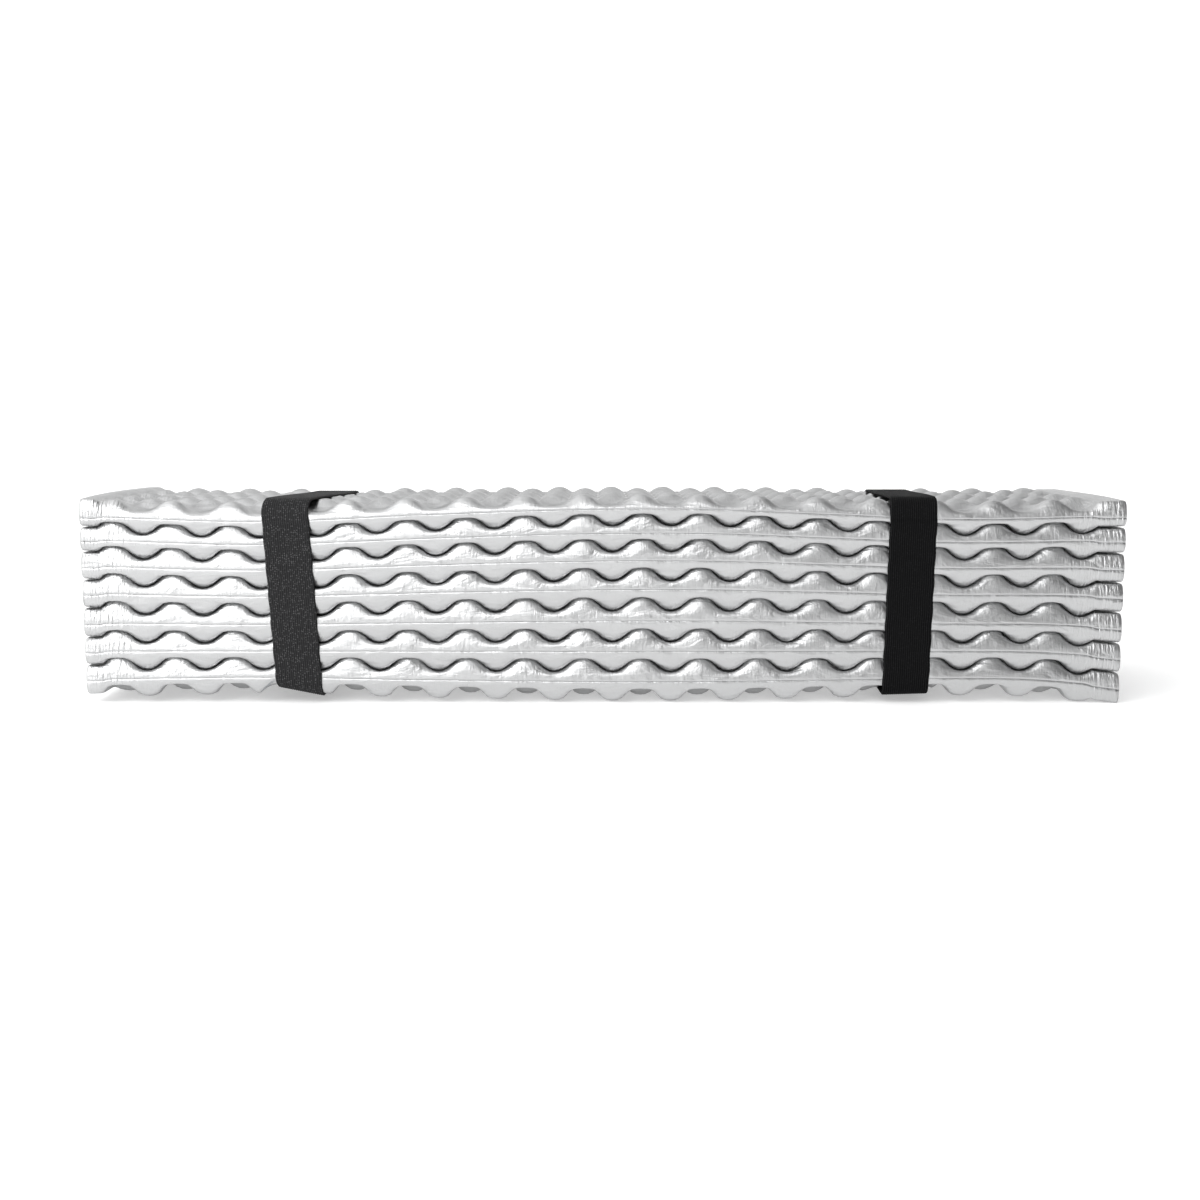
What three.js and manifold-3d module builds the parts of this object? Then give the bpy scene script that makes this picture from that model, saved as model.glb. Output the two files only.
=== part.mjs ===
// Foam sleeping pad, folded like an accordion and held closed by two elastic bands.
//
// The pad is one long sheet of egg-crate foam with a metallised film on one face. Fold lines
// split it into fourteen panels that lie on each other, film to film and foam to foam, with
// their bumps nested in each other's hollows. The film is on the outside of the folds at the
// front and on the inside of the folds at the back.
//
// Frame, in millimetres: X runs along the folded pad, Y from its front to its back, Z up.
// The origin is the centre of the footprint, on the surface that the pad rests on.

import * as THREE from 'three';
import { mergeVertices } from 'three/addons/utils/BufferGeometryUtils.js';
import Module from 'manifold-3d';

const wasm = await Module();
wasm.setup();

// The pad and its panels.
const PAD_WIDTH = 560;
const PANEL_COUNT = 14;
const FOLD_Y = 65.5; // distance of the fold lines from the middle of a panel
const LAYER_PITCH = 7.7; // height that each panel adds to the nested stack
const LAYER_GAP = 0.3;
const FILM_THICKNESS = 0.5;
const FILM_GAP = 0.3;

// The bumps, as straight ridges from front to back.
const WAVE_PERIOD = 31.5;
const WAVE_COUNT = 17;
const WAVE_AMPLITUDE = 3.8;
const BASE_HEIGHT = 5; // middle of the lowest wavy face
const BASE_AMPLITUDE = 5.9; // nothing is nested under it, so its ridges are taller, and they are
// pressed flat where they rest at Z = 0

// The edges of the panels at the folds.
const WEB_RADIUS = 0.4; // pressed foam and film that bridge a fold line
const WEB_SIDES = 8;
const EDGE_CLEARANCE = 0.7; // from a panel's edge face to its fold line
const NOSE_FLAT = 2.2; // height of the flat edge face beside a fold line
const NOSE_MARGIN = 0.5; // how far the bevelled profile reaches past the highest bump
const SIDE_MARGIN = 1; // how far the bevelled profile reaches past each end of the pad

// The elastic bands.
const BAND_WIDTH = 25;
const BAND_THICKNESS = 1.5;
const BAND_CLEARANCE = 0.3;
const BAND_INNER_Y = 66.2;
const BAND_INNER_BOTTOM = 1.9;
const BAND_INNER_TOP = 113.2;
const BAND_CORNER_RADIUS = 9;
const BAND_CORNER_STEPS = 5;
const CHANNEL_DEPTH = 20; // how far outwards the foam is cleared over a band
// Where the middle of each band crosses the stack's four long edges. The bands lie slightly askew.
const BANDS = {
  left: { topFront: -170, topBack: -151, bottomBack: -152, bottomFront: -164 },
  right: { topFront: 165, topBack: 162, bottomBack: 160, bottomFront: 161.5 },
};

// The sewn join of each band, at the middle of the back.
const JOIN_HEIGHT = 36;
const JOIN_BEVEL = 1.2;

const COLOURS = {
  foam: { color: 0x8c9094, roughness: 0.95, metalness: 0 },
  film: { color: 0xc9ccd0, roughness: 0.38, metalness: 0.85 },
  web: { color: 0xb4b7ba, roughness: 0.5, metalness: 0.6 },
  band: { color: 0x232325, roughness: 0.9, metalness: 0 },
  join: { color: 0x2c2c2f, roughness: 0.85, metalness: 0 },
};

// Turns a shape drawn in X and Z into a prism along Y, and one drawn in Y and Z into a prism along X.
const PRISM_ALONG_Y = new THREE.Matrix4().makeRotationX(Math.PI / 2);
const PRISM_ALONG_X = new THREE.Matrix4().makeBasis(
  new THREE.Vector3(0, 1, 0),
  new THREE.Vector3(0, 0, 1),
  new THREE.Vector3(1, 0, 0),
);

/** A prism with this outline, `length` long and centred on its own middle. */
function prism(points, length, orientation) {
  const shape = new THREE.Shape(points.map(([across, up]) => new THREE.Vector2(across, up)));
  const geometry = new THREE.ExtrudeGeometry(shape, { depth: length, bevelEnabled: false });
  geometry.translate(0, 0, -length / 2);
  return geometry.applyMatrix4(orientation);
}

function toSolid(geometry) {
  const bare = geometry.clone();
  bare.deleteAttribute('normal');
  bare.deleteAttribute('uv');
  const merged = mergeVertices(bare);
  return new wasm.Manifold(
    new wasm.Mesh({
      numProp: 3,
      vertProperties: new Float32Array(merged.attributes.position.array),
      triVerts: new Uint32Array(merged.index.array),
    }),
  );
}

function toGeometry(solid) {
  const { vertProperties, triVerts } = solid.getMesh();
  const geometry = new THREE.BufferGeometry();
  geometry.setAttribute('position', new THREE.BufferAttribute(vertProperties, 3));
  geometry.setIndex(new THREE.BufferAttribute(triVerts, 1));
  geometry.computeVertexNormals();
  return geometry;
}

function namedMesh(name, geometry, colour) {
  const mesh = new THREE.Mesh(geometry, new THREE.MeshStandardMaterial(colour));
  mesh.name = name;
  return mesh;
}

/** Outline of one wavy face, from left to right. Hollows lower than `floor` are cut off flat. */
function wavyFace(height, amplitude, floor) {
  const halfPeriod = WAVE_PERIOD / 2;
  const slope = (2 * amplitude) / halfPeriod;
  const waveStart = -WAVE_COUNT * halfPeriod;
  const points = [
    [-PAD_WIDTH / 2, height],
    [waveStart, height],
  ];
  for (let peak = 0; peak < 2 * WAVE_COUNT; peak += 1) {
    const x = waveStart + (peak + 0.5) * halfPeriod;
    const isBump = peak % 2 === 0;
    const z = isBump ? height + amplitude : height - amplitude;
    if (z < floor) {
      const halfLand = (floor - z) / slope;
      points.push([x - halfLand, floor], [x + halfLand, floor]);
    } else {
      points.push([x, z]);
    }
  }
  points.push([-waveStart, height], [PAD_WIDTH / 2, height]);
  return points;
}

/**
 * Side profile of a panel: flat edge faces beside its two fold lines, and a bevel on the far
 * side of each, which is the panel's half of a rounded nose.
 */
function panelProfile(frontFold, backFold, amplitude) {
  const edgeY = FOLD_Y - EDGE_CLEARANCE;
  const up = Math.sign(backFold - frontFold);
  const reach = amplitude + NOSE_MARGIN;
  const bevel = LAYER_PITCH + reach - NOSE_FLAT;
  return [
    [-edgeY, frontFold - up * reach],
    [edgeY - bevel, frontFold - up * reach],
    [edgeY, backFold - up * NOSE_FLAT],
    [edgeY, backFold + up * reach],
    [-edgeY + bevel, backFold + up * reach],
    [-edgeY, frontFold + up * NOSE_FLAT],
  ];
}

/** A panel with its film, as one solid. Its lower interface is at Z = 0. */
function panelEnvelope(foldsUpwards, lowerAmplitude, floor) {
  const lower = wavyFace(LAYER_GAP / 2, lowerAmplitude, floor);
  const upper = wavyFace(LAYER_PITCH - LAYER_GAP / 2, WAVE_AMPLITUDE, -Infinity);
  const wavySlab = prism([...lower, ...upper.reverse()], 2 * FOLD_Y, PRISM_ALONG_Y);
  const frontFold = foldsUpwards ? 0 : LAYER_PITCH;
  const profile = panelProfile(frontFold, LAYER_PITCH - frontFold, lowerAmplitude);
  const bevelledBar = prism(profile, PAD_WIDTH + 2 * SIDE_MARGIN, PRISM_ALONG_X);
  return toSolid(wavySlab).intersect(toSolid(bevelledBar));
}

/** Points around the stack on a band's inner face, each with the direction that faces outwards. */
function bandPath(edges) {
  const centreY = BAND_INNER_Y - BAND_CORNER_RADIUS;
  const corners = [
    { x: edges.topFront, y: -centreY, z: BAND_INNER_TOP - BAND_CORNER_RADIUS, start: Math.PI },
    { x: edges.topBack, y: centreY, z: BAND_INNER_TOP - BAND_CORNER_RADIUS, start: Math.PI / 2 },
    { x: edges.bottomBack, y: centreY, z: BAND_INNER_BOTTOM + BAND_CORNER_RADIUS, start: 0 },
    {
      x: edges.bottomFront,
      y: -centreY,
      z: BAND_INNER_BOTTOM + BAND_CORNER_RADIUS,
      start: -Math.PI / 2,
    },
  ];
  const path = [];
  for (const { x, y, z, start } of corners) {
    for (let step = 0; step <= BAND_CORNER_STEPS; step += 1) {
      const angle = start - ((Math.PI / 2) * step) / BAND_CORNER_STEPS;
      const outwards = [Math.cos(angle), Math.sin(angle)];
      path.push({
        x,
        y: y + BAND_CORNER_RADIUS * outwards[0],
        z: z + BAND_CORNER_RADIUS * outwards[1],
        outwards,
      });
    }
  }
  return path;
}

/** A closed loop of flat band along a path, between two distances outwards from it. */
function bandLoop(path, width, innerOffset, outerOffset) {
  const section = [
    [-width / 2, innerOffset],
    [width / 2, innerOffset],
    [width / 2, outerOffset],
    [-width / 2, outerOffset],
  ];
  const positions = [];
  for (const { x, y, z, outwards } of path) {
    for (const [side, offset] of section) {
      positions.push(x + side, y + offset * outwards[0], z + offset * outwards[1]);
    }
  }
  const index = [];
  for (let ring = 0; ring < path.length; ring += 1) {
    const here = ring * section.length;
    const next = ((ring + 1) % path.length) * section.length;
    for (let corner = 0; corner < section.length; corner += 1) {
      const other = (corner + 1) % section.length;
      index.push(here + corner, next + other, here + other);
      index.push(here + corner, next + corner, next + other);
    }
  }
  const geometry = new THREE.BufferGeometry();
  geometry.setAttribute('position', new THREE.Float32BufferAttribute(positions, 3));
  geometry.setIndex(index);
  geometry.computeVertexNormals();
  return geometry;
}

/** The sewn overlap of a band: a short second layer with bevelled ends, on the back run. */
function bandJoin(edges) {
  const innerY = BAND_INNER_Y + BAND_THICKNESS + BAND_CLEARANCE;
  const outerY = innerY + BAND_THICKNESS;
  const halfHeight = JOIN_HEIGHT / 2;
  const profile = [
    [innerY, -halfHeight],
    [outerY, -halfHeight + JOIN_BEVEL],
    [outerY, halfHeight - JOIN_BEVEL],
    [innerY, halfHeight],
  ];
  const geometry = prism(profile, BAND_WIDTH, PRISM_ALONG_X);
  const middleHeight = (BAND_INNER_TOP + BAND_INNER_BOTTOM) / 2;
  return geometry.translate((edges.topBack + edges.bottomBack) / 2, 0, middleHeight);
}

const channels = Object.values(BANDS).map((edges) =>
  toSolid(
    bandLoop(bandPath(edges), BAND_WIDTH + 2 * BAND_CLEARANCE, -BAND_CLEARANCE, CHANNEL_DEPTH),
  ),
);

/** Foam and film of one panel: the film is its outer skin on one face and on the front edge. */
function makePanel(number) {
  const foldsUpwards = number % 2 === 0;
  const height = BASE_HEIGHT + (number - 1) * LAYER_PITCH;
  const isBottom = number === 1;
  const lowerAmplitude = isBottom ? BASE_AMPLITUDE : WAVE_AMPLITUDE;
  let envelope = panelEnvelope(foldsUpwards, lowerAmplitude, isBottom ? -BASE_HEIGHT : -Infinity);
  for (const channel of channels) {
    envelope = envelope.subtract(channel.translate([0, 0, -height]));
  }
  const filmSide = foldsUpwards ? 1 : -1;
  const inwards = (distance) => envelope.translate([0, distance, -filmSide * distance]);
  // A moved copy of the envelope reaches back under the film beside a channel, so the foam is
  // also cut by the film.
  const film = envelope.subtract(inwards(FILM_THICKNESS));
  const foam = envelope.intersect(inwards(FILM_THICKNESS + FILM_GAP)).subtract(film);

  const label = String(number).padStart(2, '0');
  const panel = new THREE.Group();
  panel.position.z = height;
  panel.add(namedMesh(`foam_panel_${label}`, toGeometry(foam), COLOURS.foam));
  panel.add(namedMesh(`silver_film_${label}`, toGeometry(film), COLOURS.film));
  if (number < PANEL_COUNT) {
    panel.add(makeFoldWeb(number, label));
  }
  return panel;
}

/** The living hinge between a panel and the one on it: a bead on the fold line. */
function makeFoldWeb(number, label) {
  const geometry = new THREE.CylinderGeometry(WEB_RADIUS, WEB_RADIUS, PAD_WIDTH, WEB_SIDES);
  const web = namedMesh(`fold_web_${label}`, geometry, COLOURS.web);
  const foldIsAtFront = number % 2 === 1;
  web.rotation.z = Math.PI / 2;
  web.position.set(0, foldIsAtFront ? -FOLD_Y : FOLD_Y, LAYER_PITCH);
  return web;
}

function makeBand(side, edges) {
  const band = new THREE.Group();
  const loop = bandLoop(bandPath(edges), BAND_WIDTH, 0, BAND_THICKNESS);
  band.add(namedMesh(`elastic_band_${side}`, loop, COLOURS.band));
  band.add(namedMesh(`band_join_${side}`, bandJoin(edges), COLOURS.join));
  return band;
}

const pad = new THREE.Group();
for (let number = 1; number <= PANEL_COUNT; number += 1) {
  pad.add(makePanel(number));
}
for (const [side, edges] of Object.entries(BANDS)) {
  pad.add(makeBand(side, edges));
}

export default pad;
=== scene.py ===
"""Foam sleeping pad, folded like an accordion and held closed by two elastic bands.

Everything is worked out in millimetres in the row frame (X along the pad, Y from its front to
its back, Z up, the floor at Z = 0) and turned into metres when a mesh is made.
"""

import bpy
import numpy as np
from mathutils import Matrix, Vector


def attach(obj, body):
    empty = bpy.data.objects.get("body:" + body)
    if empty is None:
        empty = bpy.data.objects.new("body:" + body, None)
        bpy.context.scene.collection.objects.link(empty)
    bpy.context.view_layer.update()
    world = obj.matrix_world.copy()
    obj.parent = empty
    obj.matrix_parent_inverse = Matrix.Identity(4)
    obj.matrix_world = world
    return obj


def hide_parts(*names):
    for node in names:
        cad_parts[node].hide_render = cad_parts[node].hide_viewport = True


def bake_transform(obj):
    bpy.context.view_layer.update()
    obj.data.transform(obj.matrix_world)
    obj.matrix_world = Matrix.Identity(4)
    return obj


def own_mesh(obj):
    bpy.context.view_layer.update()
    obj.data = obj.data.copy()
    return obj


MM = 0.001

# The pad's layout, as in the CAD model.
HALF_LENGTH = 280.0
PANEL_COUNT = 14
FOLD_Y = 65.5
LAYER_PITCH = 7.7

# The egg-crate bumps.
WAVE_PERIOD = 31.5
WAVE_COUNT = 17
WAVE_SHIFT = -2.8  # the right rim is wider than the left one
WAVE_START = WAVE_SHIFT - WAVE_COUNT * WAVE_PERIOD / 2
WAVE_END = WAVE_SHIFT + WAVE_COUNT * WAVE_PERIOD / 2
WAVE_HEIGHT = 6.0  # of the nested bumps between two panels
HILL_SHARPNESS = 0.15  # hills are narrower than hollows
BASE_WAVE_HEIGHT = 5.6  # nothing is nested under the lowest face
BASE_BLUNTNESS = 1.3  # of the tips the pad stands on
TOP_WAVE_HEIGHT = 3.1
TOP_BLUNTNESS = 0.9  # of the open hills on the top face
EDGE_BLUNTNESS = 0.55  # of the outer half of the rows beside the folds
ROW_COUNT = 8
ROW_MARGIN = 0.4  # flat strip beside a fold line
ROW_PITCH = 2 * (FOLD_Y - ROW_MARGIN) / ROW_COUNT

# Height of each face between panels at the middle of the front, from the floor upwards.
FRONT_HEIGHTS = (
    5.1, 12.1, 21.4, 28.7, 37.8, 45.2, 54.7, 62.2, 70.9, 77.7, 86.7, 92.5, 100.5, 105.4, 109.6,
)
# How far the stack sags at places along it, when its own middle stands highest.
SAG_PLACES = (-280.0, -262.0, -185.0, -95.0, 0.0, 55.0, 120.0, 195.0, 262.0, 280.0)
SAG_DEPTHS = (3.6, 4.3, 6.6, 2.9, 0.0, 0.0, 2.6, 5.3, 3.8, 3.2)
SAG_AT_TOP = 1.02  # share of the sag that the highest fold line takes
SAG_SPREAD = 1.55  # how much smaller that share is at the floor
SAG_POWER = 1.7
TOP_SAG_SHARE = 0.6  # the top face sags less than the fold line under it
BACK_SAG = 3.1  # further drop at the back, at the middle of the pad
BACK_EVENING = 0.42  # how much less it drops there for each millimetre of sag
OUTER_RIM_RISE = 2.6  # of the rims on the top and bottom faces, which nothing presses on
LEFT_RIM_RISE = 1.3  # further rise of the top face's left rim
OUTER_RIM_CROWN = 0.25  # how much more they rise halfway from front to back
INNER_RIM_DROP = 1.0  # of the rims between two panels
END_DROOP = 5.2  # of the lowest layers at the right end, where they hang down to the floor
DROOP_START = 210.0

# Noses at the folds, cut edges and rims. A front fold has an upper and a lower half.
UPPER_NOSE_DEPTH = 7.2
UPPER_NOSE_ROUNDNESS = 2.0
LOWER_NOSE_DEPTH = 4.4
LOWER_NOSE_ROUNDNESS = 2.6
BACK_NOSE_DEPTH = 8.5
BACK_NOSE_ROUNDNESS = 2.0
RIM_NOSE_DEPTH = 3.5
CUT_EDGE_DEPTH = 1.6
CUT_EDGE_ROUNDNESS = 3.0
CREASE_DEPTH = 0.3
CREASE_WIDTH = 0.3
HIDDEN_DEPTH = 0.5  # how far one layer's edge lies behind the layer that wraps it
HIDDEN_REACH = 3.0  # from the fold line, over which that eases off
WEB_ROWS = 6
WEB_HEIGHT = 0.5
WEB_LEAN = 0.2  # its upper edge stands this much further out than its lower one
WEB_THICKNESS = 0.3
RIM_RECESS = 0.4
RIM_EASE = 5.0
END_RADIUS = 1.6  # of a panel's ends, seen from the front
CORNER_RADIUS = 2.5  # of its corners, seen from above
CORNER_REACH = 10.0  # from the front or back edge
FILM_THICKNESS = 0.3
FILM_SHARE = 0.45  # of a panel's thickness, at most, where the panel thins out to an edge
LAYER_CLEARANCE = 0.08

# The elastic bands: where the middle of each crosses the stack's four long edges.
BANDS = {
    "left": {"top_front": -170.0, "top_back": -161.0, "bottom_back": -160.0, "bottom_front": -164.0},
    "right": {"top_front": 166.0, "top_back": 173.0, "bottom_back": 170.0, "bottom_front": 163.5},
}
BAND_WIDTH = 25.0
BAND_THICKNESS = 1.5
BAND_HALF_DEPTH = 65.3  # inner face, from the middle of the pad
BAND_BOTTOM = {"left": 7.2, "right": 5.6}
BAND_TOP = {"left": 109.6, "right": 110.4}
BAND_TOP_FALL = 3.4  # from the front of the stack to its back
BAND_BOTTOM_TILT = {"left": 0.2, "right": 0.03}  # its outer edge rides higher under the pad
BAND_TOP_CORNER = 10.0
BAND_BOTTOM_CORNER = 6.0
BAND_WAVER = 0.2  # how far its edges stray from straight
BAND_EDGE_WIDTH = 0.8
BAND_EDGE_DROP = 0.6
BAND_RIBS = 22
RIB_HEIGHT = 0.28
BULGE_RADIUS = 11.0  # of the foam beside a band

# The lapped end of each band at the back, and its stitches.
JOIN_HEIGHT = 36.0
JOIN_MIDDLE = 56.0
JOIN_THICKNESS = 1.2
JOIN_EDGE_SHARE = 0.6  # of that thickness, at its long edges
JOIN_OVERLAP = 0.2  # how deep it sinks into the ribs under it
JOIN_ROW_OFFSET = 12.0
STITCH_PULL = 0.3  # how far a row of stitches draws it in
STITCH_PULL_WIDTH = 1.4
STITCH_LENGTH = 2.4
STITCH_RADIUS = 0.3
STITCH_LEAN = 0.55  # radians from upright
STITCH_DEPTH = 0.25  # of the thread's middle in the webbing
STITCH_MARGIN = 1.0  # beside the outermost stitches
STITCHES_PER_ROW = 8

# Mesh density.
COLUMNS_PER_WAVE = 12
END_COLUMNS = 6
LEFT_RIM_COLUMNS = 5
RIGHT_RIM_COLUMNS = 6
ROWS_PER_BUMP = 6
NOSE_ROWS = 11
TIP_ANGLES = (0.0, 0.035, 0.08)  # extra rows of points close to a fold line, in radians
BAND_STATIONS_PER_MM = 0.5
BAND_CORNER_STATIONS = 9
POINTS_PER_RIB = 4
INNER_FACE_STEP = 8  # a band's plain inner face has one point for this many outside
JOIN_ROWS = 40
STITCH_SIDES = 6
STITCH_STATIONS = 5

# Colours, and how many features of each pattern there are in a metre.
FILM_COLOUR = (0.51, 0.513, 0.516)
FILM_EDGE_TINT = (0.66, 0.66, 0.66, 1)  # its brightness at a grazing angle
FILM_ROUGHNESS = (0.29, 0.43)
FILM_CRINKLES = (720, 130, 130)
FILM_CRINKLE_SHARES = (0.25, 1.6)  # among the bumps and at the ends
FILM_CRINKLE_PLACES = (0.24, 0.274)  # metres from the middle, where the first turns into the second
FILM_GRAIN = (1500, 500, 500)
FILM_DENTS = (60, 150, 150)
FILM_PATCHES = (38, 60, 60)
WEB_COLOUR = (0.72, 0.73, 0.74)
WEB_COLOURS = ((0.5, 0.51, 0.52), (0.86, 0.87, 0.88))
WEB_CREASES = (420, 1200, 1200)
WEB_WEAR = (160, 300, 300)
FOAM_COLOUR = (0.30, 0.31, 0.32)
FOAM_COLOURS = ((0.21, 0.22, 0.23), (0.36, 0.37, 0.385))
FOAM_CELLS = (1500, 1500, 1500)
FOAM_LARGE_CELLS = (520, 520, 520)
FOAM_HOLLOWS = (60, 60, 60)
BAND_PICKS = 1300
BAND_FLECKS = 900
BAND_FUZZ = (2500, 2500, 2500)
THREAD_COLOUR = (0.02, 0.02, 0.021)
THREAD_COLOURS = ((0.012, 0.012, 0.013), (0.05, 0.05, 0.052))
THREAD_TWIST = (3000, 3000, 1200)

# The studio and the camera, in metres and watts.
FLOOR_GREY = 0.7
FLOOR_GLOW = 0.38  # keeps the shadows on it faint
FLOOR_HALF_WIDTH = 6.0
FLOOR_FRONT = -5.0
FLOOR_BACK = 3.0
FLOOR_BEND = 1.2
WALL_HEIGHT = 5.0
SKY_LEFT = 1.72  # strength of the surroundings on either side
SKY_RIGHT = 0.28
SKY_SPREAD = 0.4
KEY_POWER = 17
TOP_POWER = 8
BACKDROP_POWER = 20
CAMERA_PLACE = (-0.0016, -0.890, 0.1685)
CAMERA_TILT = 7.72  # degrees down
CAMERA_LENS = 46.5
SENSOR_WIDTH = 36

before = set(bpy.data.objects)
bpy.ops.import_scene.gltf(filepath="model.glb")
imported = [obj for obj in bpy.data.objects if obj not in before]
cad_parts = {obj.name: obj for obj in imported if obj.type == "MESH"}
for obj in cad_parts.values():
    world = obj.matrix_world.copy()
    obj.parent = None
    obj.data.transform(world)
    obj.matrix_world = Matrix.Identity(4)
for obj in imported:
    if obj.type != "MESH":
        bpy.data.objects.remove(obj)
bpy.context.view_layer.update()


# ---------------------------------------------------------------- shape of the stack

def smooth_step(value, start, end):
    share = np.clip((value - start) / (end - start), 0, 1)
    return share * share * (3 - 2 * share)


def smooth_curve(x, places, values):
    """Values between the given places, eased so that each given place is a gentle turn."""
    places = np.asarray(places)
    values = np.asarray(values)
    here = np.clip(np.searchsorted(places, x) - 1, 0, len(places) - 2)
    share = np.clip((x - places[here]) / (places[here + 1] - places[here]), 0, 1)
    slope = np.gradient(values, places)
    step = places[here + 1] - places[here]
    share2 = share * share
    share3 = share2 * share
    return (
        (2 * share3 - 3 * share2 + 1) * values[here]
        + (share3 - 2 * share2 + share) * step * slope[here]
        + (3 * share2 - 2 * share3) * values[here + 1]
        + (share3 - share2) * step * slope[here + 1]
    )


def bumps(x, y, bluntness=0.0):
    """The egg-crate pattern, from about -1 to 1. Neighbouring rows are half a wave apart."""
    along = np.sin(2 * np.pi * (x - WAVE_START) / WAVE_PERIOD)
    if bluntness > 0:
        along = np.tanh(bluntness * along) / np.tanh(bluntness)
    across = np.sin(np.pi * (y + FOLD_Y - ROW_MARGIN) / ROW_PITCH)
    in_outer_half = np.abs(y) > FOLD_Y - ROW_MARGIN - ROW_PITCH / 2
    across = np.where(in_outer_half, np.sign(across) * np.abs(across) ** EDGE_BLUNTNESS, across)
    patterned = (x >= WAVE_START) & (x <= WAVE_END) & (np.abs(y) <= FOLD_Y - ROW_MARGIN)
    pattern = along * across
    return np.where(patterned, pattern + HILL_SHARPNESS * pattern**2, 0.0)


def rim_share(x):
    """From 0 among the bumps to 1 on the flat rims at the ends."""
    beyond = np.maximum(WAVE_START - x, x - WAVE_END)
    return smooth_step(beyond, -RIM_EASE, RIM_EASE / 2)


def interface_height(index, x, y):
    """Middle height of the face between two panels, without its bumps."""
    share = index / PANEL_COUNT
    weight = SAG_AT_TOP - SAG_SPREAD * (1 - share) ** SAG_POWER
    if index == PANEL_COUNT:
        weight = TOP_SAG_SHARE
    sag = smooth_curve(x, SAG_PLACES, SAG_DEPTHS)
    back = smooth_step(y, -FOLD_Y, FOLD_Y)
    beyond = np.clip((x - DROOP_START) / (HALF_LENGTH - DROOP_START), 0, 1)
    droop = END_DROOP * (1 - share) * beyond**2
    if 0 < index < PANEL_COUNT:
        droop = droop + INNER_RIM_DROP * rim_share(x)
    return FRONT_HEIGHTS[index] - weight * sag - back * share * (BACK_SAG - BACK_EVENING * sag) - droop


def face_height(index, x, y):
    """Height of the face between two panels, with its bumps and rims."""
    tallest = {0: BASE_WAVE_HEIGHT, PANEL_COUNT: TOP_WAVE_HEIGHT}.get(index, WAVE_HEIGHT)
    rise = {0: -OUTER_RIM_RISE, PANEL_COUNT: OUTER_RIM_RISE}.get(index, 0.0)
    if index == PANEL_COUNT:
        rise = (rise + LEFT_RIM_RISE * (x < 0)) * (1 + OUTER_RIM_CROWN * (1 - (y / FOLD_Y) ** 2))
    pattern = bumps(x, y, {0: BASE_BLUNTNESS, PANEL_COUNT: TOP_BLUNTNESS}.get(index, 0.0))
    return interface_height(index, x, y) + tallest * pattern + rise * rim_share(x)


def nose(distance, depth, roundness):
    """Share of a panel's thickness reached at a distance from the tip of its rounded edge."""
    share = 1 - np.clip(distance / depth, 0, 1)
    return (1 - share**roundness) ** (1 / roundness)


def end_fade(x, radius):
    """From 0 inside a panel to 1 at its very end, as a quarter circle."""
    share = np.clip((np.abs(x) - HALF_LENGTH + radius) / radius, 0, 1)
    return 1 - np.sqrt(1 - share**2)


def round_corners(x, y):
    """Pulls the front and back edges in at the very ends, so that the corners are rounded."""
    near_edge = smooth_step(np.abs(y), FOLD_Y - CORNER_REACH, FOLD_Y)
    return y - np.sign(y) * CORNER_RADIUS * end_fade(x, CORNER_RADIUS) * near_edge


def band_shear(side, beside, y, z):
    """How much higher a band's surface lies at a point than if its top and bottom were level."""
    up = np.clip((z - BAND_BOTTOM[side]) / (BAND_TOP[side] - BAND_BOTTOM[side]), 0, 1)
    back = np.clip((y + BAND_HALF_DEPTH) / (2 * BAND_HALF_DEPTH), 0, 1)
    fall = BAND_TOP_FALL * smooth_step(back, 0, 1) * up**2
    outwards = beside if side == "right" else -beside
    return BAND_BOTTOM_TILT[side] * outwards * (1 - up) ** 4 - fall


def band_distance(side, y, z):
    """Distance outwards from a band's inner face, and the direction that faces outwards."""
    middle = (BAND_TOP[side] + BAND_BOTTOM[side]) / 2
    half_height = (BAND_TOP[side] - BAND_BOTTOM[side]) / 2
    corner = np.where(z > middle, BAND_TOP_CORNER, BAND_BOTTOM_CORNER)
    beyond_y = np.abs(y) - (BAND_HALF_DEPTH - corner)
    beyond_z = np.abs(z - middle) - (half_height - corner)
    corner_y = np.maximum(beyond_y, 0)
    corner_z = np.maximum(beyond_z, 0)
    length = np.hypot(corner_y, corner_z)
    inside = np.minimum(np.maximum(beyond_y, beyond_z), 0)
    distance = length + inside - corner
    safe = np.where(length > 1e-6, length, 1.0)
    flat_y = (beyond_y > beyond_z).astype(float)
    toward_y = np.where(length > 1e-6, corner_y / safe, flat_y) * np.sign(y)
    toward_z = np.where(length > 1e-6, corner_z / safe, 1 - flat_y) * np.sign(z - middle)
    return distance, toward_y, toward_z


def band_middle(side, y, z):
    """X of the middle of a band where it passes a point of the stack."""
    edges = BANDS[side]
    up = np.clip((z - BAND_BOTTOM[side]) / (BAND_TOP[side] - BAND_BOTTOM[side]), 0, 1)
    back = np.clip((y + BAND_HALF_DEPTH) / (2 * BAND_HALF_DEPTH), 0, 1)
    bottom = edges["bottom_front"] + (edges["bottom_back"] - edges["bottom_front"]) * back
    top = edges["top_front"] + (edges["top_back"] - edges["top_front"]) * back
    return bottom + (top - bottom) * up


def press(x, y, z):
    """Moves points that would stick out through a band inwards, easing off beside it."""
    for side in BANDS:
        offset = x - band_middle(side, y, z)
        shear = band_shear(side, np.clip(offset, -BAND_WIDTH / 2, BAND_WIDTH / 2), y, z)
        distance, toward_y, toward_z = band_distance(side, y, z - shear)
        beside = np.maximum(np.abs(offset) - BAND_WIDTH / 2, 0)
        allowed = beside**2 / (2 * BULGE_RADIUS)
        excess = np.maximum(distance - allowed, 0)
        y = y - toward_y * excess
        z = z - toward_z * excess
    return y, z


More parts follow.
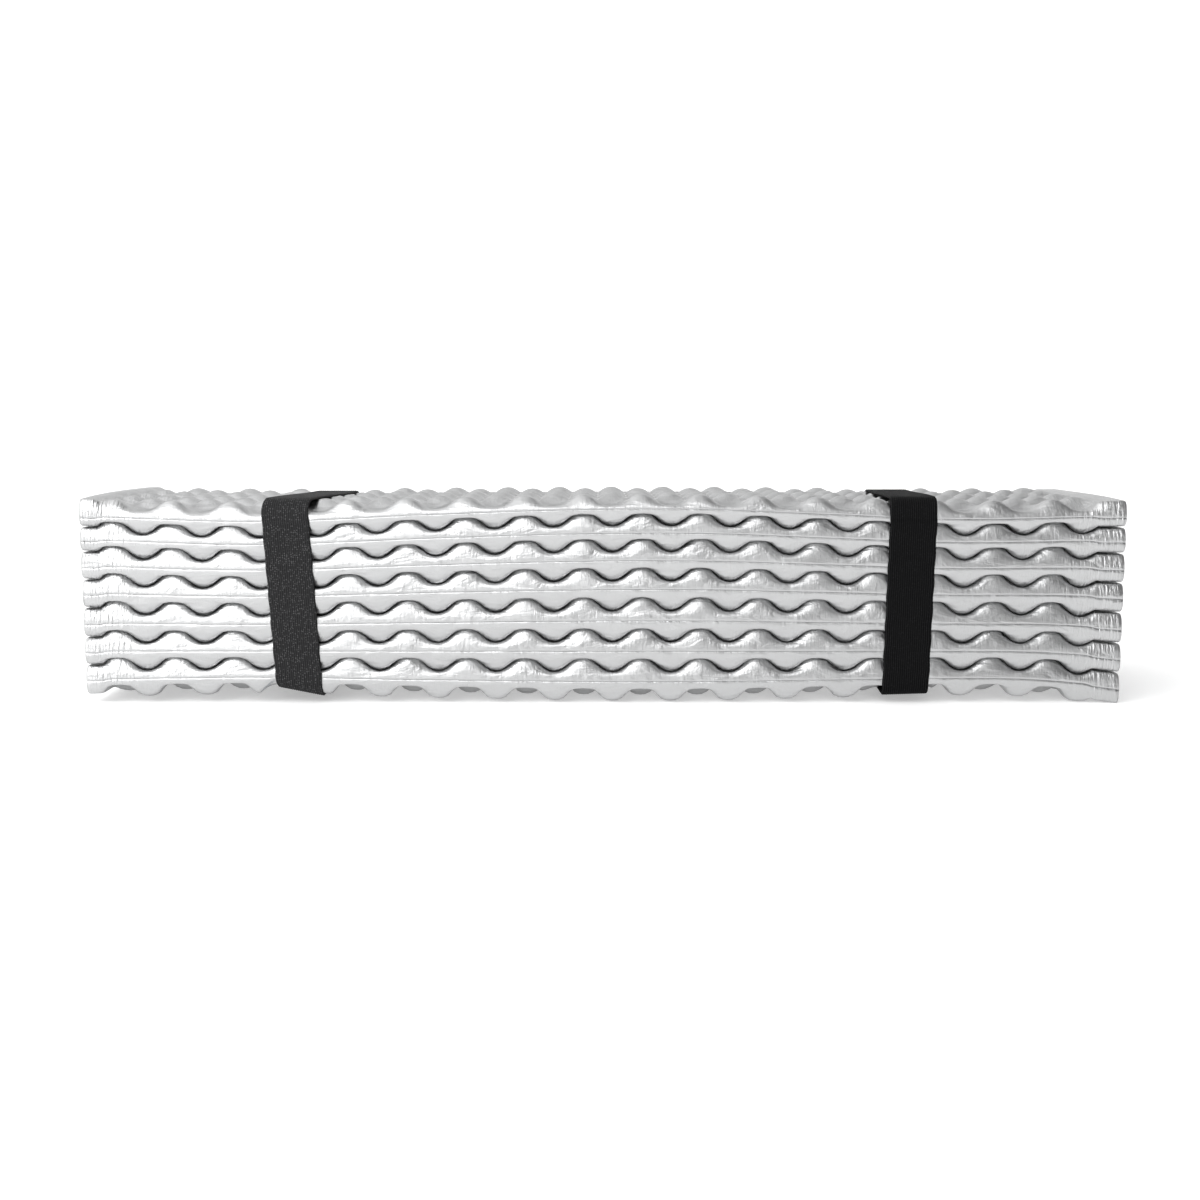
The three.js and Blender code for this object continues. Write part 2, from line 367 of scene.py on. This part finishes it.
def panel_columns():
    """X of each column of points, closer together beside the bands."""
    waves = np.linspace(WAVE_START, WAVE_END, WAVE_COUNT * COLUMNS_PER_WAVE + 1)
    middles = (waves[:-1] + waves[1:]) / 2
    crossings = [x for edges in BANDS.values() for x in edges.values()]
    nearest = np.min(np.abs(np.subtract.outer(middles, crossings)), axis=1)
    extra = middles[nearest < BAND_WIDTH]
    angles = np.linspace(0, np.pi / 2, END_COLUMNS)
    end = HALF_LENGTH - CORNER_RADIUS + CORNER_RADIUS * np.sin(angles)
    left_rim = np.linspace(WAVE_START, -end[0], LEFT_RIM_COLUMNS)[1:-1]
    right_rim = np.linspace(WAVE_END, end[0], RIGHT_RIM_COLUMNS)[1:-1]
    return np.sort(np.concatenate([-end, left_rim, waves, extra, right_rim, end]))


def edge_rows(depth):
    """Distances from the tip of a rounded edge, closer together towards the tip."""
    angles = np.concatenate([TIP_ANGLES, np.linspace(0, np.pi / 2, NOSE_ROWS + 1)[1:]])
    return depth * (1 - np.cos(angles))


def panel_rows():
    """Y of each row of points, closer together at the folds."""
    edge = edge_rows(UPPER_NOSE_DEPTH)
    inner = FOLD_Y - UPPER_NOSE_DEPTH
    count = int(round(2 * inner / ROW_PITCH * ROWS_PER_BUMP))
    middle = np.linspace(-inner, inner, count + 1)
    return np.concatenate([-FOLD_Y + edge[:-1], middle, (FOLD_Y - edge[:-1])[::-1]])


COLUMNS = panel_columns()
ROWS = panel_rows()


def panel_faces(number):
    """Film face and foam face of a panel, and which way the film faces."""
    x, y = np.meshgrid(COLUMNS, ROWS)
    film_is_up = number % 2 == 0
    up = 1.0 if film_is_up else -1.0
    film_index, foam_index = (number, number - 1) if film_is_up else (number - 1, number)
    rim = rim_share(x)
    if film_is_up:
        depth = UPPER_NOSE_DEPTH + (RIM_NOSE_DEPTH - UPPER_NOSE_DEPTH) * rim
        front = nose(y + FOLD_Y, depth, UPPER_NOSE_ROUNDNESS)
    else:
        depth = LOWER_NOSE_DEPTH + (RIM_NOSE_DEPTH - LOWER_NOSE_DEPTH) * rim
        front = nose(y + FOLD_Y, depth, LOWER_NOSE_ROUNDNESS)
    if number in (1, PANEL_COUNT):
        back = nose(FOLD_Y - y, CUT_EDGE_DEPTH, CUT_EDGE_ROUNDNESS)
    else:
        back_depth = BACK_NOSE_DEPTH + (RIM_NOSE_DEPTH - BACK_NOSE_DEPTH) * rim
        back = nose(FOLD_Y - y, back_depth, BACK_NOSE_ROUNDNESS)
    film_level = face_height(film_index, x, y)
    foam_level = face_height(foam_index, x, y)
    film_rest = interface_height(film_index, x, y)
    foam_rest = interface_height(foam_index, x, y)
    gap = LAYER_CLEARANCE / 2
    recess = RIM_RECESS * rim + END_RADIUS * end_fade(x, END_RADIUS)
    film_z = foam_rest + (film_level - up * (gap + recess) - foam_rest) * front
    foam_z = film_rest + (foam_level + up * gap - film_rest) * back
    if number == 1:
        film_z = np.maximum(film_z, 0.0)
    notch = CREASE_DEPTH * np.exp(-(((film_z - foam_rest) / CREASE_WIDTH) ** 2)) * (y < 0)
    foam_notch = CREASE_DEPTH * np.exp(-(((foam_z - film_rest) / CREASE_WIDTH) ** 2)) * (y > 0)
    hidden = HIDDEN_DEPTH * (1 - smooth_step(FOLD_Y - np.abs(y), 0, HIDDEN_REACH))
    foam_y = np.where(y < 0, y + hidden, y - foam_notch)
    film_y = np.where(y < 0, y + notch, y - hidden)
    return (x, round_corners(x, film_y), film_z), (x, round_corners(x, foam_y), foam_z), up


def grid_quads(rows, columns, first, flipped):
    """Quads of a grid of points that starts at a given one."""
    index = first + np.arange(rows * columns).reshape(rows, columns)
    a, b = index[:-1, :-1].ravel(), index[:-1, 1:].ravel()
    c, d = index[1:, 1:].ravel(), index[1:, :-1].ravel()
    return np.stack([d, c, b, a] if flipped else [a, b, c, d], axis=1)


def border(rows, columns):
    """The points around a grid, in order."""
    index = np.arange(rows * columns).reshape(rows, columns)
    return np.concatenate([index[0, :], index[1:, -1], index[-1, -2::-1], index[-2:0:-1, 0]])


def make_mesh(name, points, quads, material, uv=None, second=None, second_from=0):
    """A smooth-shaded piece. Its quads from a given one on may take a second material."""
    mesh = bpy.data.meshes.new(name)
    mesh.vertices.add(len(points))
    mesh.vertices.foreach_set("co", (np.asarray(points) * MM).astype(np.float32).ravel())
    quads = np.asarray(quads)
    mesh.loops.add(quads.size)
    mesh.loops.foreach_set("vertex_index", quads.astype(np.int32).ravel())
    mesh.polygons.add(len(quads))
    mesh.polygons.foreach_set("loop_start", np.arange(0, quads.size, quads.shape[1], dtype=np.int32))
    mesh.update(calc_edges=True)
    mesh.polygons.foreach_set("use_smooth", np.full(len(mesh.polygons), True))
    if uv is not None:
        layer = mesh.uv_layers.new(name="along")
        layer.data.foreach_set("uv", uv[quads.ravel()].astype(np.float32).ravel())
    mesh.materials.append(material)
    if second is not None:
        mesh.materials.append(second)
        choice = (np.arange(len(quads)) >= second_from).astype(np.int32)
        mesh.polygons.foreach_set("material_index", choice)
    piece = bpy.data.objects.new(name, mesh)
    bpy.context.scene.collection.objects.link(piece)
    return piece


def closed_shell(name, upper, lower, material, lower_material=None, uv=None):
    """A closed body between two point grids of the same size, the first on top."""
    rows, columns = upper[0].shape
    count = rows * columns
    faces = [np.stack([part.ravel() for part in face], axis=1) for face in (upper, lower)]
    points = np.concatenate(faces)
    loop = border(rows, columns)
    following = np.roll(loop, -1)
    walls = np.stack([loop, loop + count, following + count, following], axis=1)
    quads = np.concatenate(
        [
            grid_quads(rows, columns, 0, False),
            grid_quads(rows, columns, count, True),
            walls,
        ]
    )
    return make_mesh(name, points, quads, material, uv, lower_material, (rows - 1) * (columns - 1))


def pressed(face):
    """A face with the bands' marks in it."""
    x, y, z = face
    y, z = press(x, y, z)
    return x, y, z


# ---------------------------------------------------------------- materials

def new_material(name, colour, roughness, metallic=0.0):
    material = bpy.data.materials.new(name)
    material.use_nodes = True
    shader = material.node_tree.nodes["Principled BSDF"]
    shader.inputs["Base Color"].default_value = (*colour, 1)
    shader.inputs["Roughness"].default_value = roughness
    shader.inputs["Metallic"].default_value = metallic
    return material, material.node_tree, shader


def connect(tree, value, socket):
    """Links an output to a socket, or sets the socket where the value is a plain number."""
    if isinstance(value, bpy.types.NodeSocket):
        tree.links.new(value, socket)
    else:
        socket.default_value = value


def maths(tree, operation, first, second=0.0):
    node = tree.nodes.new("ShaderNodeMath")
    node.operation = operation
    connect(tree, first, node.inputs[0])
    connect(tree, second, node.inputs[1])
    return node.outputs[0]


def total(tree, *terms):
    """Sum of (value, weight) pairs."""
    result = 0.0
    for value, weight in terms:
        result = maths(tree, "ADD", maths(tree, "MULTIPLY", value, weight), result)
    return result


def place(tree, source, scale):
    """Object or UV coordinates, stretched by a scale for each axis."""
    coordinates = tree.nodes.new("ShaderNodeTexCoord")
    mapping = tree.nodes.new("ShaderNodeMapping")
    mapping.inputs["Scale"].default_value = scale
    tree.links.new(coordinates.outputs[source], mapping.inputs["Vector"])
    return mapping.outputs["Vector"]


def noise(tree, where, detail=3.0, kind="FBM", distortion=0.0):
    node = tree.nodes.new("ShaderNodeTexNoise")
    node.noise_type = kind
    node.inputs["Scale"].default_value = 1.0
    node.inputs["Detail"].default_value = detail
    node.inputs["Distortion"].default_value = distortion
    tree.links.new(where, node.inputs["Vector"])
    return node.outputs["Fac"]


def cells(tree, where, randomness=1.0):
    node = tree.nodes.new("ShaderNodeTexVoronoi")
    node.inputs["Scale"].default_value = 1.0
    node.inputs["Randomness"].default_value = randomness
    tree.links.new(where, node.inputs["Vector"])
    return node.outputs["Distance"]


def between(tree, value, low, high, from_low=0.0, from_high=1.0):
    node = tree.nodes.new("ShaderNodeMapRange")
    connect(tree, value, node.inputs["Value"])
    node.inputs["From Min"].default_value = from_low
    node.inputs["From Max"].default_value = from_high
    node.inputs["To Min"].default_value = low
    node.inputs["To Max"].default_value = high
    return node.outputs["Result"]


def blend_colours(tree, share, first, second):
    node = tree.nodes.new("ShaderNodeMix")
    node.data_type = "RGBA"
    tree.links.new(share, node.inputs["Factor"])
    node.inputs["A"].default_value = (*first, 1)
    node.inputs["B"].default_value = (*second, 1)
    return node.outputs["Result"]


def bump(tree, shader, height, strength, distance):
    node = tree.nodes.new("ShaderNodeBump")
    node.inputs["Strength"].default_value = strength
    node.inputs["Distance"].default_value = distance
    tree.links.new(height, node.inputs["Height"])
    tree.links.new(node.outputs["Normal"], shader.inputs["Normal"])


def film_material():
    """Satin metallised film. Fine crinkles run over the folds, stronger towards the ends."""
    material, tree, shader = new_material("silver_film", FILM_COLOUR, 0.32, 1.0)
    along = tree.nodes.new("ShaderNodeSeparateXYZ")
    tree.links.new(place(tree, "Object", (1, 1, 1)), along.inputs["Vector"])
    from_middle = maths(tree, "ABSOLUTE", along.outputs["X"])
    outward = between(tree, from_middle, *FILM_CRINKLE_SHARES, *FILM_CRINKLE_PLACES)
    crinkle = noise(tree, place(tree, "Object", FILM_CRINKLES), 3.0, "FBM", 0.4)
    grain = noise(tree, place(tree, "Object", FILM_GRAIN), 2.0)
    dents = noise(tree, place(tree, "Object", FILM_DENTS), 3.0, "FBM", 0.6)
    height = total(tree, (maths(tree, "MULTIPLY", crinkle, outward), 0.9), (grain, 0.15), (dents, 1.9))
    bump(tree, shader, height, 0.7, 0.0008)
    shader.inputs["Specular Tint"].default_value = FILM_EDGE_TINT
    patches = noise(tree, place(tree, "Object", FILM_PATCHES), 4.0)
    roughness = between(tree, patches, *FILM_ROUGHNESS, 0.3, 0.7)
    tree.links.new(roughness, shader.inputs["Roughness"])
    return material


def web_material():
    """The same film, creased hard along a fold line."""
    material, tree, shader = new_material("fold_web", WEB_COLOUR, 0.42, 0.8)
    creases = noise(tree, place(tree, "Object", WEB_CREASES), 4.0, "RIDGED_MULTIFRACTAL")
    bump(tree, shader, creases, 0.5, 0.0006)
    worn = noise(tree, place(tree, "Object", WEB_WEAR), 3.0)
    colour = blend_colours(tree, between(tree, worn, 0, 1, 0.42, 0.6), *WEB_COLOURS)
    tree.links.new(colour, shader.inputs["Base Color"])
    return material


def foam_material():
    """Closed-cell foam with fine cells and a faintly uneven skin."""
    material, tree, shader = new_material("foam", FOAM_COLOUR, 0.92)
    cell = cells(tree, place(tree, "Object", FOAM_CELLS))
    large_cell = cells(tree, place(tree, "Object", FOAM_LARGE_CELLS))
    uneven = noise(tree, place(tree, "Object", FOAM_HOLLOWS), 3.0)
    bump(tree, shader, total(tree, (cell, 0.5), (large_cell, 0.5), (uneven, 0.8)), 0.35, 0.0005)
    colour = blend_colours(tree, total(tree, (cell, 0.5), (uneven, 0.6)), *FOAM_COLOURS)
    tree.links.new(colour, shader.inputs["Base Color"])
    return material


def band_material(name, dark, light, marks, painted_groove_shade, gloss):
    """Woven elastic: lengthwise ribs crossed by fine picks, with paler flecks of yarn. Its colour is
    also darkened between the ribs as painted shade.
    """
    material, tree, shader = new_material(name, dark, 0.75)
    split = tree.nodes.new("ShaderNodeSeparateXYZ")
    tree.links.new(place(tree, "UV", (2 * np.pi * BAND_RIBS, 1, 1)), split.inputs["Vector"])
    ribs = maths(tree, "COSINE", split.outputs["X"])
    picks = noise(tree, place(tree, "UV", (30, BAND_PICKS, 1)), 1.0)
    flecks = cells(tree, place(tree, "UV", (BAND_RIBS, BAND_FLECKS, 1)), 0.6)
    fuzz = noise(tree, place(tree, "Object", BAND_FUZZ), 2.0)
    height = total(tree, (picks, 0.6), (flecks, 0.5), (fuzz, 0.4), (ribs, -0.3))
    bump(tree, shader, height, 0.6, 0.0004)
    bright = between(tree, flecks, marks, 0, 0.1, 0.4)
    # the rib term darkens the colour in the grooves between ribs: painted shade
    share = total(tree, (bright, 1.0), (fuzz, 0.25), (ribs, -painted_groove_shade))
    tree.links.new(blend_colours(tree, share, dark, light), shader.inputs["Base Color"])
    shader.inputs["Specular IOR Level"].default_value = gloss
    return material


def thread_material():
    """Black twisted sewing thread."""
    material, tree, shader = new_material("thread", THREAD_COLOUR, 0.5)
    twist = noise(tree, place(tree, "Object", THREAD_TWIST), 2.0, "FBM", 1.0)
    bump(tree, shader, twist, 0.6, 0.0002)
    colour = blend_colours(tree, twist, *THREAD_COLOURS)
    tree.links.new(colour, shader.inputs["Base Color"])
    return material


# ---------------------------------------------------------------- building

def make_panel(number, film, foam):
    """A foam panel and the film on it."""
    label = f"{number:02d}"
    film_face, foam_face, up = panel_faces(number)
    x, y, film_z = film_face
    skin = np.minimum(FILM_THICKNESS, FILM_SHARE * np.abs(film_z - foam_face[2]))
    inner = pressed((x, (y + foam_face[1]) / 2, film_z - up * skin))
    outer = pressed(film_face)
    bare = pressed(foam_face)
    if up > 0:
        shell = closed_shell(f"pad_film_{label}", outer, inner, film)
        body = closed_shell(f"pad_foam_{label}", inner, bare, foam)
    else:
        shell = closed_shell(f"pad_film_{label}", inner, outer, film)
        body = closed_shell(f"pad_foam_{label}", bare, inner, foam)
    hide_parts(f"silver_film_{label}")
    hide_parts(f"foam_panel_{label}")
    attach(shell, f"panel_{label}")
    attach(body, f"panel_{label}")


def make_web(number, creased, foam):
    """The pressed strip that bridges a fold line, between the two panels. Its rows lie one behind the
    other."""
    label = f"{number:02d}"
    side = -1.0 if number % 2 == 1 else 1.0
    steps = np.linspace(0, 1, WEB_ROWS)
    x, step = np.meshgrid(COLUMNS, steps)
    lower_y = FOLD_Y - CREASE_DEPTH - WEB_LEAN
    y = round_corners(x, side * (lower_y + WEB_LEAN * step))
    level = interface_height(number, x, np.full_like(x, side * FOLD_Y))
    z = level + WEB_HEIGHT * (step - 0.5)
    outer = (x, y, z)
    inner = (x, y - side * WEB_THICKNESS, z)
    faces = (inner, outer) if side > 0 else (outer, inner)
    web = closed_shell(f"pad_web_{label}", *faces, creased, foam)
    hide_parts(f"fold_web_{label}")
    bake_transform(web)


def band_path(side):
    """Points once around the stack on a band's inner face, with the outward direction of each."""
    high = BAND_TOP[side] - BAND_TOP_CORNER
    low = BAND_BOTTOM[side] + BAND_BOTTOM_CORNER
    high_y = BAND_HALF_DEPTH - BAND_TOP_CORNER
    low_y = BAND_HALF_DEPTH - BAND_BOTTOM_CORNER
    corners = [
        (-high_y, high, BAND_TOP_CORNER, np.pi),
        (high_y, high, BAND_TOP_CORNER, np.pi / 2),
        (low_y, low, BAND_BOTTOM_CORNER, 0.0),
        (-low_y, low, BAND_BOTTOM_CORNER, -np.pi / 2),
    ]
    points = []
    for number, (y, z, radius, start) in enumerate(corners):
        for turn in np.linspace(0, np.pi / 2, BAND_CORNER_STATIONS):
            angle = start - turn
            points.append(np.array([y + radius * np.cos(angle), z + radius * np.sin(angle)]))
        next_y, next_z, next_radius, next_start = corners[(number + 1) % len(corners)]
        goal_y = next_y + next_radius * np.cos(next_start)
        goal_z = next_z + next_radius * np.sin(next_start)
        start_point = points[-1]
        way = np.array([goal_y, goal_z]) - start_point
        steps = max(2, int(np.linalg.norm(way) * BAND_STATIONS_PER_MM))
        for step in range(1, steps):
            points.append(start_point + way * step / steps)
    path = np.array(points)
    ahead = np.roll(path, -1, axis=0) - np.roll(path, 1, axis=0)
    ahead /= np.linalg.norm(ahead, axis=1)[:, None]
    outwards = np.stack([-ahead[:, 1], ahead[:, 0]], axis=1)
    return path, outwards


def ribbed_width():
    """Places across a band, the height of its ribs at each, and a share from 0 at its edges
    to 1 inside."""
    samples = BAND_RIBS * POINTS_PER_RIB + 1
    across = np.linspace(-BAND_WIDTH / 2, BAND_WIDTH / 2, samples)
    ribs = RIB_HEIGHT * (0.5 - 0.5 * np.cos(2 * np.pi * np.arange(samples) / POINTS_PER_RIB))
    inside = smooth_step(BAND_WIDTH / 2 - np.abs(across), 0, BAND_EDGE_WIDTH)
    return across, ribs, inside


def make_band(side, elastic):
    """One elastic band: its ribbed section, carried once around the stack."""
    path, outwards = band_path(side)
    path_y, path_z = path[:, :1], path[:, 1:]
    across, ribs, inside = ribbed_width()
    outer = BAND_THICKNESS - RIB_HEIGHT + ribs - BAND_EDGE_DROP * (1 - inside)
    inner_face = across[::-INNER_FACE_STEP]
    section_x = np.concatenate([across, inner_face])[None, :]
    section_out = np.concatenate([outer, np.zeros(len(inner_face))])[None, :]
    waver = BAND_WAVER * np.sin(path_z * 2 * np.pi / (2 * LAYER_PITCH))
    x = band_middle(side, path_y, path_z) + section_x + waver * np.abs(section_x) * 2 / BAND_WIDTH
    y = path_y + outwards[:, :1] * section_out
    z = path_z + outwards[:, 1:] * section_out
    z = z + band_shear(side, section_x, path_y, path_z)
    stations, width = x.shape
    index = np.arange(stations * width).reshape(stations, width)
    ahead = np.roll(index, -1, axis=0)
    beside = np.roll(index, -1, axis=1)
    both = np.roll(ahead, -1, axis=1)
    quads = np.stack([index.ravel(), ahead.ravel(), both.ravel(), beside.ravel()], axis=1)
    points = np.stack([x.ravel(), y.ravel(), z.ravel()], axis=1)
    length = np.concatenate([[0], np.cumsum(np.linalg.norm(np.diff(path, axis=0), axis=1))])
    u = np.broadcast_to(section_x / BAND_WIDTH + 0.5, x.shape)
    v = np.broadcast_to(length[:, None] * MM, x.shape)
    uv = np.stack([u.ravel(), v.ravel()], axis=1)
    loop = make_mesh(f"band_loop_{side}", points, quads, elastic, uv)
    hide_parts(f"elastic_band_{side}")
    fasten(loop, side)


def fasten(piece, side):
    """Hangs a piece of a band on the band's body, on a mesh of its own."""
    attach(piece, f"band_{side}")
    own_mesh(piece)


def make_join(side, elastic):
    """The lapped end of the webbing at the back, which is sewn to the loop."""
    across, ribs, inside = ribbed_width()
    heights = JOIN_MIDDLE + JOIN_HEIGHT * (np.linspace(0, 1, JOIN_ROWS) - 0.5)
    offset, z = np.meshgrid(across, heights)
    from_end = JOIN_HEIGHT / 2 - np.abs(z - JOIN_MIDDLE)
    edge_share = JOIN_EDGE_SHARE + (1 - JOIN_EDGE_SHARE) * inside[None, :]
    thickness = JOIN_THICKNESS * smooth_step(from_end, -JOIN_THICKNESS / 2, JOIN_THICKNESS) * edge_share
    for row in (-1, 1):
        from_row = z - JOIN_MIDDLE - row * JOIN_ROW_OFFSET
        thickness = thickness - STITCH_PULL * np.exp(-((from_row / STITCH_PULL_WIDTH) ** 2))
    middle = band_middle(side, np.full_like(z, BAND_HALF_DEPTH), z)
    base = BAND_HALF_DEPTH + BAND_THICKNESS - RIB_HEIGHT
    outer = (middle + offset, base + thickness + ribs[None, :], z)
    inner = (middle + offset, np.full_like(z, base - JOIN_OVERLAP), z)
    uv = np.stack([(offset / BAND_WIDTH + 0.5).ravel(), (z * MM).ravel()], axis=1)
    lap = closed_shell(f"band_join_{side}_lap", inner, outer, elastic, None, np.concatenate([uv, uv]))
    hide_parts(f"band_join_{side}")
    fasten(lap, side)


def add_stitch(points, quads, middle, lean):
    """Adds one stitch: a short round rod in the plane of the band, thinner towards its ends."""
    x, y, z = middle
    first = len(points)
    for step in range(STITCH_STATIONS):
        share = 2 * step / (STITCH_STATIONS - 1) - 1
        reach = share * STITCH_LENGTH / 2
        radius = STITCH_RADIUS * np.sqrt(max(1 - share**2, 0.05))
        for turn in range(STITCH_SIDES):
            angle = 2 * np.pi * turn / STITCH_SIDES
            sideways = radius * np.cos(angle)
            points.append((
                x + reach * np.sin(lean) + sideways * np.cos(lean),
                y + radius * np.sin(angle),
                z + reach * np.cos(lean) - sideways * np.sin(lean),
            ))
    for step in range(STITCH_STATIONS - 1):
        for turn in range(STITCH_SIDES):
            a = first + step * STITCH_SIDES + turn
            b = first + step * STITCH_SIDES + (turn + 1) % STITCH_SIDES
            quads.append((a, b, b + STITCH_SIDES, a + STITCH_SIDES))
    last = first + (STITCH_STATIONS - 1) * STITCH_SIDES
    for ring in (range(first + STITCH_SIDES - 1, first - 1, -1), range(last, last + STITCH_SIDES)):
        quads.append((ring[0], ring[1], ring[2], ring[3]))
        quads.append((ring[3], ring[4], ring[5], ring[0]))


def make_stitches(side, thread):
    """Two zigzag rows of thread across the lapped end."""
    points = []
    quads = []
    y = BAND_HALF_DEPTH + BAND_THICKNESS + JOIN_THICKNESS - STITCH_DEPTH
    pitch = (BAND_WIDTH - 2 * STITCH_MARGIN) / STITCHES_PER_ROW
    for row in (-1, 1):
        z = JOIN_MIDDLE + row * JOIN_ROW_OFFSET
        for number in range(STITCHES_PER_ROW):
            offset = (number + 0.5 - STITCHES_PER_ROW / 2) * pitch
            x = float(band_middle(side, BAND_HALF_DEPTH, z)) + offset
            lean = STITCH_LEAN if number % 2 else -STITCH_LEAN
            add_stitch(points, quads, (x, y, z), lean)
    stitches = make_mesh(f"band_join_{side}_stitches", points, quads, thread)
    fasten(stitches, side)


FILM = film_material()
FOAM = foam_material()
WEB = web_material()
# Both bands are one elastic. The left one gets lighter colours and the right one darker colours, as
# painted light and shade from the brighter left side.
ELASTIC = {
    "left": band_material("elastic_left_painted_lit", (0.009, 0.009, 0.0095), (0.08, 0.08, 0.082), 0.9, 0.12, 0.1),
    "right": band_material("elastic_right_painted_shade", (0.002, 0.002, 0.0022), (0.02, 0.02, 0.021), 0.3, 0.3, 0.04),
}
THREAD = thread_material()
for panel_number in range(1, PANEL_COUNT + 1):
    make_panel(panel_number, FILM, FOAM)
for web_number in range(1, PANEL_COUNT):
    make_web(web_number, WEB, FOAM)
for band_side in BANDS:
    make_band(band_side, ELASTIC[band_side])
    make_join(band_side, ELASTIC[band_side])
    make_stitches(band_side, THREAD)


# ---------------------------------------------------------------- floor, light and camera

def area_light(name, place, target, size, power):
    """A rectangular lamp that faces a target."""
    lamp = bpy.data.lights.new(name, "AREA")
    lamp.shape = "RECTANGLE"
    lamp.size, lamp.size_y = size
    lamp.energy = power
    holder = bpy.data.objects.new(name, lamp)
    holder.location = place
    aim = Vector(target) - Vector(place)
    holder.rotation_euler = aim.to_track_quat("-Z", "Y").to_euler()
    bpy.context.scene.collection.objects.link(holder)


def make_backdrop():
    """A pale floor that curves up behind the object."""
    profile = [(FLOOR_FRONT, 0.0)]
    for angle in np.linspace(0, np.pi / 2, 13):
        y = FLOOR_BACK + FLOOR_BEND * np.sin(angle)
        z = FLOOR_BEND - FLOOR_BEND * np.cos(angle)
        profile.append((y, z))
    profile.append((FLOOR_BACK + FLOOR_BEND, WALL_HEIGHT))
    points = [(x, y, z) for y, z in profile for x in (-FLOOR_HALF_WIDTH, FLOOR_HALF_WIDTH)]
    quads = [(2 * i, 2 * i + 1, 2 * i + 3, 2 * i + 2) for i in range(len(profile) - 1)]
    mesh = bpy.data.meshes.new("floor")
    mesh.from_pydata(points, [], quads)
    material, _, shader = new_material("floor", (FLOOR_GREY, FLOOR_GREY, FLOOR_GREY), 0.7)
    shader.inputs["Emission Color"].default_value = (1, 1, 1, 1)
    shader.inputs["Emission Strength"].default_value = FLOOR_GLOW
    mesh.materials.append(material)
    mesh.polygons.foreach_set("use_smooth", [True] * len(quads))
    floor = bpy.data.objects.new("floor", mesh)
    bpy.context.scene.collection.objects.link(floor)


def make_light():
    """A studio that is brighter on its left, with a broad light over the front."""
    world = bpy.data.worlds.new("studio")
    bpy.context.scene.world = world
    world.use_nodes = True
    tree = world.node_tree
    background = tree.nodes["Background"]
    background.inputs["Color"].default_value = (1, 1, 1, 1)
    direction = tree.nodes.new("ShaderNodeSeparateXYZ")
    tree.links.new(place(tree, "Generated", (1, 1, 1)), direction.inputs["Vector"])
    strength = between(tree, direction.outputs["X"], SKY_LEFT, SKY_RIGHT, -SKY_SPREAD, SKY_SPREAD)
    tree.links.new(strength, background.inputs["Strength"])
    area_light("key", (-1.5, -1.3, 0.9), (-0.1, 0, 0.05), (1.4, 1.2), KEY_POWER)
    area_light("top", (-0.6, -0.9, 1.1), (-0.15, 0, 0), (1.4, 0.9), TOP_POWER)
    area_light("backdrop", (0.0, 1.6, 1.9), (0, 3.6, 0.3), (3.0, 0.8), BACKDROP_POWER)
    bpy.context.scene.view_settings.view_transform = "Standard"


def make_camera():
    """A camera in front of the pad, a little above it."""
    camera = bpy.data.cameras.new("camera")
    camera.lens = CAMERA_LENS
    camera.sensor_width = SENSOR_WIDTH
    holder = bpy.data.objects.new("camera", camera)
    holder.location = CAMERA_PLACE
    holder.rotation_euler = (np.radians(90 - CAMERA_TILT), 0, 0)
    bpy.context.scene.collection.objects.link(holder)
    bpy.context.scene.camera = holder


make_backdrop()
make_light()
make_camera()
